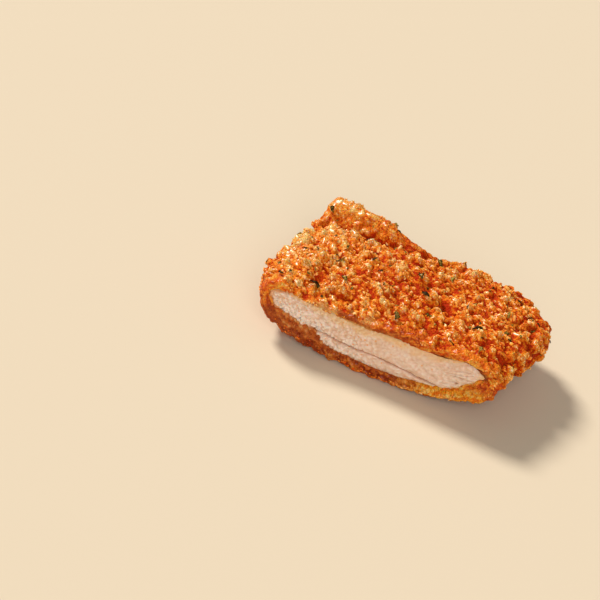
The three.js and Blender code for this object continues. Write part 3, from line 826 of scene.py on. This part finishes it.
class FILLET_OT_meat(bpy.types.Operator):
    """Build the cooked meat with its fibrous cut face and seam"""
    bl_idname = "fillet.meat"
    bl_label = "Meat"

    def execute(self, context):
        s = context.scene.fillet_meat
        nx, ny, nz = MEAT_GRID
        q, faces = open_box(nx, ny, nz)
        rim = 2 * (nx + nz)
        ident, inner_u, inner_w = end_grid(nx, nz, 0, len(q))
        inner = len(inner_u)
        q = np.concatenate([q, np.stack([inner_u, np.full(inner, -1.0), inner_w], 1)])
        front = np.stack([ident[:-1, :-1], ident[1:, :-1], ident[1:, 1:], ident[:-1, 1:]], -1).reshape(-1, 4)
        p = meat_point(q)
        face = np.concatenate([np.arange(rim), np.arange(len(q) - inner, len(q))])
        f = p[face]
        x, z = f[:, 0], f[:, 2]
        edge = 1 - np.maximum(np.abs(q[face, 0]), np.abs(q[face, 2]))
        taper = smooth(-19.5, -14, x) * (1 - smooth(20, 25.5, x))
        wander = SEAM(x) + 0.25 * noise(columns(x / 4, 2.2, 5.5), 1.0)
        gap = np.exp(-((z - wander) / lerp(0.42, 0.3, smooth(-14, 0, x))) ** 2) * taper
        below = smooth(0, 0.5, wander - z) * taper
        # strands that part at the right end and along the lower strip
        strand = np.abs(noise(columns(x * 0.16, 0.0, (z - 0.28 * (x - 20)) * 0.9), 1.0, 6.6))
        right = smooth(23, 31, x)
        split = np.exp(-(strand / 0.08) ** 2) * (0.12 + 0.88 * right * (1 - smooth(11, 14, z)))
        split *= smooth(0.02, 0.15, edge)
        clod = grains(f + 0.5 * noise(f, 1.4, 3.1)[:, None], 0.95)[0] - 0.35
        tear = (0.34 * lumps(f, 1.5, 9.3) + 0.5 * clod) * (1 - 0.75 * smooth(-12, 8, x))
        tear += 0.16 * noise(f, 0.8, 2.7)
        torn = (1 - smooth(-16, 2, x)) * (1 - smooth(2.0, 4.5, z - MEAT_LOW(x)))
        y = (0.1 + 0.45 * noise(columns(x / 5, z / 2.2, 3.1), 1.0) - (0.9 + 0.6 * torn) * tear
             + s.seam_depth * gap + 0.45 * below + (0.55 + 0.9 * right) * split
             - 0.25 * smooth(0.02, 0.25, edge))
        lipped = smooth(18, 30, x) * smooth(0.3, 0.9, q[face, 2])
        y += 0.3 * (1 - smooth(0, 0.05, edge)) + 0.6 * lipped
        out = unit(normals_of(p, faces)[:rim] * (1, 0, 1))
        p[face, 1] = CUT_Y + y
        p[:rim] += out * (0.3 + 0.9 * noise(p[:rim], 1.3, 7.7) * (1 - smooth(-14, 4, p[:rim, 0])))[:, None]
        full = np.zeros(len(p))
        seam, rind, fibre, tan = full.copy(), full + 1, full.copy(), full.copy()
        # painted shade down in the seam and between the parted strands
        seam[face] = np.clip(gap + 0.45 * split, 0, 1)
        upper = q[face, 2] > np.abs(q[face, 0])
        soaked = np.where(upper, 1 - smooth(0.12, 0.5, edge + 0.2 * noise(f, 2, 1.1)), 0)
        rind[face] = 1 - smooth(0.0, np.where(upper, 0.13, 0.07), edge) * (1 - 0.8 * soaked)
        above = z - MEAT_LOW(x) + 1.1 * noise(f, 1.7, 4.2)
        # tan near the coating at the lower left and along the edge at the left, and painted shade between the
        # parted strands at the right end
        tan[face] = (0.7 * (1 - smooth(0.0, 1.1, above)) * (1 - smooth(-15, -5, x))
                     + 0.6 * (1 - smooth(0, 0.09, edge)) * (1 - smooth(-30, -20, x)) + split * right)
        fibre[face] = np.clip(0.55 + 1.3 * tear + 0.35 * torn, 0, 1)
        meat = new_piece("cooked_meat", p, np.concatenate([faces, front]), seam=seam, rind=rind,
                         fibre=fibre, tan=np.clip(tan, 0, 1))
        meat.data.materials.append(self.finish(s))
        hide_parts("chicken_meat")
        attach(meat, "root")
        return {"FINISHED"}

    @staticmethod
    def finish(s):
        f = Finish("Cooked White Meat")
        seam, rind, fibre = f.number("seam"), f.number("rind"), f.number("fibre")
        cloud, strands = f.cloud(4.0, 3.0), f.cloud(1.3, 4.0, (1.0, 1.0, 3.2))
        flesh = f.mix(tuple(s.flesh), tuple(s.fibre), fibre.between(0.35, 0.8) * 0.7 + (strands - 0.5) * 0.6)
        flesh = f.mix(flesh, MEAT_CLOUD, cloud.between(0.5, 0.72) * 0.45)
        flesh = f.mix(flesh, tuple(s.juice), rind * 0.7)
        flesh = f.mix(flesh, MEAT_TAN_AND_SHADE, f.number("tan").between(0.0, 0.9) * 0.9)
        flesh = f.mix(flesh, tuple(s.shade), seam * 0.85)
        flesh = f.mix(flesh, MEAT_OIL, f.spots(900.0, 0.14) * 0.75)
        return f.skin(
            Base_Color=flesh, Roughness=0.5 - 0.12 * fibre, Coat_Weight=0.3 - 0.2 * seam,
            Normal=f.bump(strands + 0.5 * f.cloud(0.5, 3.0), 0.22, 0.7), Coat_Roughness=0.28,
            Subsurface_Weight=0.35, Subsurface_Radius=(1.0, 0.5, 0.3), Subsurface_Scale=0.002, IOR=1.42)


class FILLET_OT_crumbs(bpy.types.Operator):
    """Scatter the medium and fine crumbs over the coating"""
    bl_idname = "fillet.crumbs"
    bl_label = "Crumbs"

    def execute(self, context):
        s = context.scene.fillet_crumbs
        finish = self.finish(s)
        rng = np.random.RandomState(SEED)
        top = spread(s.medium_count, 300)
        radius = lerp(*MEDIUM_RADII, rng.uniform(0, 1, len(top)) ** 0.55)
        self.scatter("medium_crumbs", 2, top, radius, rng, finish, 0.5, 0.02)
        # a quarter as many are strewn over the underside too
        below = spread(s.fine_count // 4, 20000, -0.98) * (1, 1, -1)
        fine = np.concatenate([spread(s.fine_count, 5000, -0.98), below])
        radius = lerp(*FINE_RADII, rng.uniform(0, 1, len(fine)) ** 0.8)
        self.scatter("fine_crumbs", 1, fine, radius, rng, finish, 0.85, 0.22)
        return {"FINISHED"}

    @staticmethod
    def scatter(name, detail, spots, radius, rng, finish, limit, on_edge):
        at = Coating.at(spots)
        p, n, lift = Coating.points[at], Coating.normals[at], Coating.lift[at]
        wanted = Coating.band[at] < limit * rng.uniform(0.3, 1, len(at))
        wanted &= lift > rng.uniform(0.25, 0.68, len(at))
        wanted &= Coating.calm[at] * (1 + on_edge) < rng.uniform(0.15, 0.6 + 2 * on_edge, len(at))
        wanted &= (p[:, 1] > CUT_Y + 0.1 + 0.5 * radius) & (p[:, 2] > FLOOR_Z + 0.6)
        clear = np.array([Coating.flakes.find(c)[2] for c in p])
        wanted &= clear > rng.uniform(0.1, 0.7, len(p)) + radius * 0.6
        # and some on the cut edge itself, duller below than above
        edge = np.concatenate(Coating.rim)
        edge = edge[rng.uniform(0, 1, len(edge)) < edge[:, 6] * on_edge]
        p, n = np.concatenate([p[wanted], edge[:, :3]]), np.concatenate([n[wanted], edge[:, 3:6]])
        edge_lift = np.where(edge[:, 2] > GIRTH_Z, 0.5, lerp(0.0, 0.7, smooth(0, 20, edge[:, 7])))
        lift = np.append(lift[wanted], edge_lift)
        radius = np.append(radius[wanted], rng.choice(radius, len(edge)) * 0.85)
        plain, tris = ball(detail)
        templates = []
        for _ in range(32):
            # a ball pared flat from a few sides, then stretched
            shape = plain * (1 + 0.45 * noise(plain * 1.3 + rng.uniform(-50, 50, 3), 1.0))[:, None]
            for side in rng.normal(size=(9, 3)):
                side /= np.linalg.norm(side)
                shape = shape - np.maximum(shape @ side - rng.uniform(0.5, 0.85), 0)[:, None] * side
            templates.append((shape * rng.uniform((1.0, 0.65, 0.6), (1.9, 1.1, 0.95)), tris))
        loose = lerp(3.14, 0.7, smooth(-12, 20, p[:, 0]))
        turned = frames(n, ALONG_ANGLE + loose * rng.uniform(-1, 1, len(p)))
        turned = turned @ np.array([Matrix.Rotation(a, 3, "X") for a in rng.uniform(-0.8, 0.8, len(p))])
        centres = p + n * (radius * rng.uniform(-0.3, 0.35, len(p)))[:, None]
        picks = rng.randint(0, len(templates), len(p))
        points, faces, lengths = joined(templates, picks, turned, centres, radius)
        points[:, 2] = np.maximum(points[:, 2], FLOOR_Z)
        out = points - np.repeat(centres, lengths, 0)
        rise = (out * np.repeat(n, lengths, 0)).sum(1) / np.repeat(radius, lengths)
        # the tint is partly random and follows raised places; painted light makes each crumb paler on its
        # upper side
        tint = 0.4 * rng.uniform(0, 1, len(p)) ** 1.6 + 0.46 * np.clip(lift, 0, 1)
        tint = np.repeat(tint, lengths) + 0.42 * (rise - 0.1)
        hue = np.repeat(np.append(rng.uniform(0, 1, len(p) - len(edge)), np.full(len(edge), 0.5)), lengths)
        piece = new_piece(name, points, faces, False, tint=tint, hue=hue)
        piece.data.materials.append(finish)
        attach(piece, "root")

    @staticmethod
    def finish(s):
        f = Finish("Toasted Crumb")
        tint, hue, speck = f.number("tint"), f.number("hue"), f.cloud(0.7, 3.0)
        crumb = f.ramp(tint + (speck - 0.5) * 0.4,
                       (0.14, tuple(s.toasted)), (0.44, tuple(s.golden)), (0.86, tuple(s.pale)))
        middling = tint.between(0.2, 0.6)
        crumb = f.mix(crumb, CRUMB_YELLOW, hue.between(0.76, 0.8) * middling * 0.6)
        crumb = f.mix(crumb, CRUMB_SAND, (1 - hue.between(0.14, 0.18)) * middling * 0.4)
        # painted highlights: pale specks on the paler crumbs
        crumb = f.mix(crumb, CRUMB_PAINTED_GLINT, f.spots(1900.0, 0.5) * tint.between(0.3, 0.9) * 0.75)
        return f.skin(
            Base_Color=crumb, Roughness=0.45 + 0.15 * speck, Coat_Weight=0.1 + 0.55 * tint,
            Normal=f.bump(speck, 0.16, 0.6), Coat_Roughness=0.28, Coat_IOR=1.8, Specular_IOR_Level=0.1,
            Subsurface_Weight=0.15, Subsurface_Radius=(1.0, 0.4, 0.1), Subsurface_Scale=0.0008, IOR=1.45)


class FILLET_OT_herbs(bpy.types.Operator):
    """Lay the dried herb flakes on the coating"""
    bl_idname = "fillet.herbs"
    bl_label = "Herb Flakes"

    def execute(self, context):
        s = context.scene.fillet_herbs
        rng = np.random.RandomState(SEED + 2)
        draws = stream(SEED + 2)
        spots = np.concatenate([spread(FLAKES), spread(s.small_count, 900)])
        tilt, turn, length, width = [], [], [], []
        for i in range(len(spots)):
            if i < FLAKES:
                tilt.append(0.5 * (next(draws) - 0.5))
                turn.append(next(draws) * 6.283185)
                k = lerp(1.15, 0.7, i / FLAKES)
                length.append(FLAKE_LENGTH * k)
                width.append(FLAKE_WIDTH * k)
            else:
                tilt.append(rng.uniform(-0.3, 0.3))
                turn.append(rng.uniform(0, 6.283))
                length.append(rng.uniform(0.7, 1.9))
                width.append(rng.uniform(0.45, 0.9))
        at = Coating.at(spots)
        p, n = Coating.points[at], Coating.level[at]
        length = np.array(length) * lerp(0.55, 1, smooth(0.5, 0.85, n[:, 2]))
        ok = (Coating.band[at] < 0.8) & (p[:, 1] > CUT_Y + 1.5)
        p[OUTLINE_FLAKES] -= OUTLINE_SINK * n[OUTLINE_FLAKES]
        which = np.arange(len(spots))[ok]
        turned = frames(n, turn)
        skin = tree_of(Coating.points)
        templates = []
        for i in range(len(spots)):
            flake, faces = self.flake(rng, length[i], width[i], tilt[i])
            # it drapes over the crags below it, a little flatter than they are
            rise = np.zeros(len(flake))
            for _ in range(3):
                places = [p[i] + turned[i] @ (c[0], c[1], z) for c, z in zip(flake, rise)]
                rise = (np.array([skin.find(place)[0] for place in places]) - p[i]) @ n[i]
            drape = lerp(0.7, 0.95, smooth(0.2, 0.8, -rise)) * rise
            flake[:, 2] += drape + 0.1 * rise.mean() + 0.2 * rise.max() + 0.14
            templates.append((flake, faces))
        points, faces, lengths = joined(templates, which, turned[ok], p[ok], np.ones(len(which)))
        Coating.flakes = tree_of([p[i] + turned[i][:, 0] * length[i] * step / 5
                                  for i in which for step in (-2, -1, 0, 1, 2)])
        ragged = np.tile(np.tile([-0.35, 0.1, -0.35], 7), 2 * len(which))
        tint = np.repeat(rng.uniform(0.15, 1, len(which)), lengths) + ragged
        herbs = new_piece("herb_flakes", points, faces, tint=tint)
        herbs.data.materials.append(self.finish(s))
        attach(herbs, "root")
        return {"FINISHED"}

    @staticmethod
    def finish(s):
        f = Finish("Dried Herb")
        vein = f.cloud(0.6, 3.0)
        leaf = f.ramp(f.number("tint") + (vein - 0.5) * 2.2,
                      (0.22, HERB_DEEP), (0.55, tuple(s.dark)), (1.0, tuple(s.light)))
        return f.skin(Base_Color=leaf, Roughness=0.6, Normal=f.bump(vein, 0.25, 1.0),
                      Specular_IOR_Level=0.1, IOR=1.45)

    @staticmethod
    def flake(rng, length, width, tilt):
        """A thin, curled, torn leaf scrap: both faces and the edge between them."""
        nx, ny = 7, 3
        x = np.linspace(-0.5, 0.5, nx)[:, None] * length + np.zeros((1, ny))
        t = np.linspace(-1, 1, nx)[:, None]
        half = width / 2 * (1 - 0.75 * t ** 2) * rng.uniform(0.45, 1.3, (nx, 1))
        across = np.linspace(-1, 1, ny)[None, :]
        y = half * across + 0.25 * width * np.sin(2.2 * t + rng.uniform(0, 6))
        curl = rng.uniform(0.0, 0.14)
        z = tilt * x * 0.6 - curl * x * x + rng.uniform(-0.1, 0.3) * across ** 2 * width
        grid = np.stack([x, y, z], -1).reshape(-1, 3)
        k = np.arange(nx * ny).reshape(nx, ny)
        top = np.stack([k[:-1, :-1], k[1:, :-1], k[1:, 1:], k[:-1, 1:]], -1).reshape(-1, 4)
        loop = np.concatenate([k[:-1, 0], k[-1, :-1], k[:0:-1, -1], k[0, :0:-1]])
        n = nx * ny
        side = np.stack([loop, loop + n, np.roll(loop, -1) + n, np.roll(loop, -1)], 1)
        below = grid - (0, 0, FLAKE_THICKNESS)
        return np.concatenate([grid, below]), np.concatenate([top, top[:, ::-1] + n, side])


class FILLET_OT_stage(bpy.types.Operator):
    """Set the floor, the soft lights and the camera"""
    bl_idname = "fillet.stage"
    bl_label = "Stage"

    def execute(self, context):
        s = context.scene.fillet_stage
        scene = context.scene
        scene.view_settings.view_transform = "Standard"
        corners = [(u * FLOOR_HALF, v * FLOOR_HALF, FLOOR_Z) for u, v in ((-1, -1), (1, -1), (1, 1), (-1, 1))]
        floor = new_piece("pale_floor", np.array(corners), [[0, 1, 2, 3]])
        f = Finish("Pale Floor")
        floor.data.materials.append(f.skin(Base_Color=tuple(s.floor), Roughness=0.9))

        world = bpy.data.worlds.new("Soft Room")
        scene.world = world
        world.use_nodes = True
        world.node_tree.nodes["Background"].inputs["Color"].default_value = ROOM_TONE
        world.node_tree.nodes["Background"].inputs["Strength"].default_value = ROOM_LIGHT
        for sun in SUNS:
            self.lamp(*sun)

        # the camera is turned and aimed so that the piece's middle falls on its own pixel of the frame
        at = Vector((0, 0, LOOK_Z)) - Vector(MIDDLE)
        az, el, roll = np.radians([s.azimuth, s.elevation, s.roll])
        back = Vector((np.sin(az) * np.cos(el), -np.cos(az) * np.cos(el), np.sin(el)))
        right = Vector((np.cos(az), np.sin(az), 0))
        up = back.cross(right)
        level = Matrix((np.cos(roll) * right + np.sin(roll) * up,
                        -np.sin(roll) * right + np.cos(roll) * up, back)).transposed()
        reach = s.lens / SENSOR * PICTURE
        off_x, off_y = (MIDDLE_PIXEL[0] - PICTURE / 2) / reach, (PICTURE / 2 - MIDDLE_PIXEL[1]) / reach
        aim = Vector((off_x, off_y, -1)).rotation_difference(Vector((0, 0, -1)))
        camera = bpy.data.objects.new("Camera", bpy.data.cameras.new("Camera"))
        camera.data.lens, camera.data.sensor_width, camera.data.clip_start = s.lens, SENSOR, 0.01
        turn = (level @ aim.to_matrix()).to_4x4()
        camera.matrix_world = Matrix.Translation(at * 0.001 + back * s.distance) @ turn
        scene.collection.objects.link(camera)
        scene.camera = camera
        return {"FINISHED"}

    @staticmethod
    def lamp(name, where, spread_degrees, energy, tone):
        light = bpy.data.lights.new(name, "SUN")
        light.angle, light.energy, light.color = np.radians(spread_degrees), energy, tone
        lamp = bpy.data.objects.new(name, light)
        lamp.location = where
        lamp.rotation_euler = (Vector((0, 0, 0.01)) - Vector(where)).to_track_quat("-Z", "Y").to_euler()
        bpy.context.scene.collection.objects.link(lamp)


class FILLET_PT_panel(bpy.types.Panel):
    """Lists the fillet's pieces"""
    bl_idname = "FILLET_PT_panel"
    bl_label = "Fillet"
    bl_space_type = "VIEW_3D"
    bl_region_type = "UI"
    bl_category = "Fillet"

    def draw(self, context):
        for operator in OPERATORS:
            self.layout.operator(operator.bl_idname)


GROUPS = {"fillet_coating": CoatingSettings, "fillet_crumbs": CrumbSettings, "fillet_herbs": HerbSettings,
          "fillet_meat": MeatSettings, "fillet_stage": StageSettings}
OPERATORS = (FILLET_OT_stage, FILLET_OT_coating, FILLET_OT_meat, FILLET_OT_herbs, FILLET_OT_crumbs)


def register():
    for cls in (*GROUPS.values(), *OPERATORS, FILLET_PT_panel):
        bpy.utils.register_class(cls)
    for name, group in GROUPS.items():
        setattr(bpy.types.Scene, name, bpy.props.PointerProperty(type=group))


def unregister():
    for name in GROUPS:
        delattr(bpy.types.Scene, name)
    for cls in (FILLET_PT_panel, *reversed(OPERATORS), *reversed(GROUPS.values())):
        bpy.utils.unregister_class(cls)


def main():
    register()
    for operator in OPERATORS:
        area, name = operator.bl_idname.split(".")
        getattr(getattr(bpy.ops, area), name)()
    bpy.context.view_layer.update()


if __name__ == "__main__":
    main()
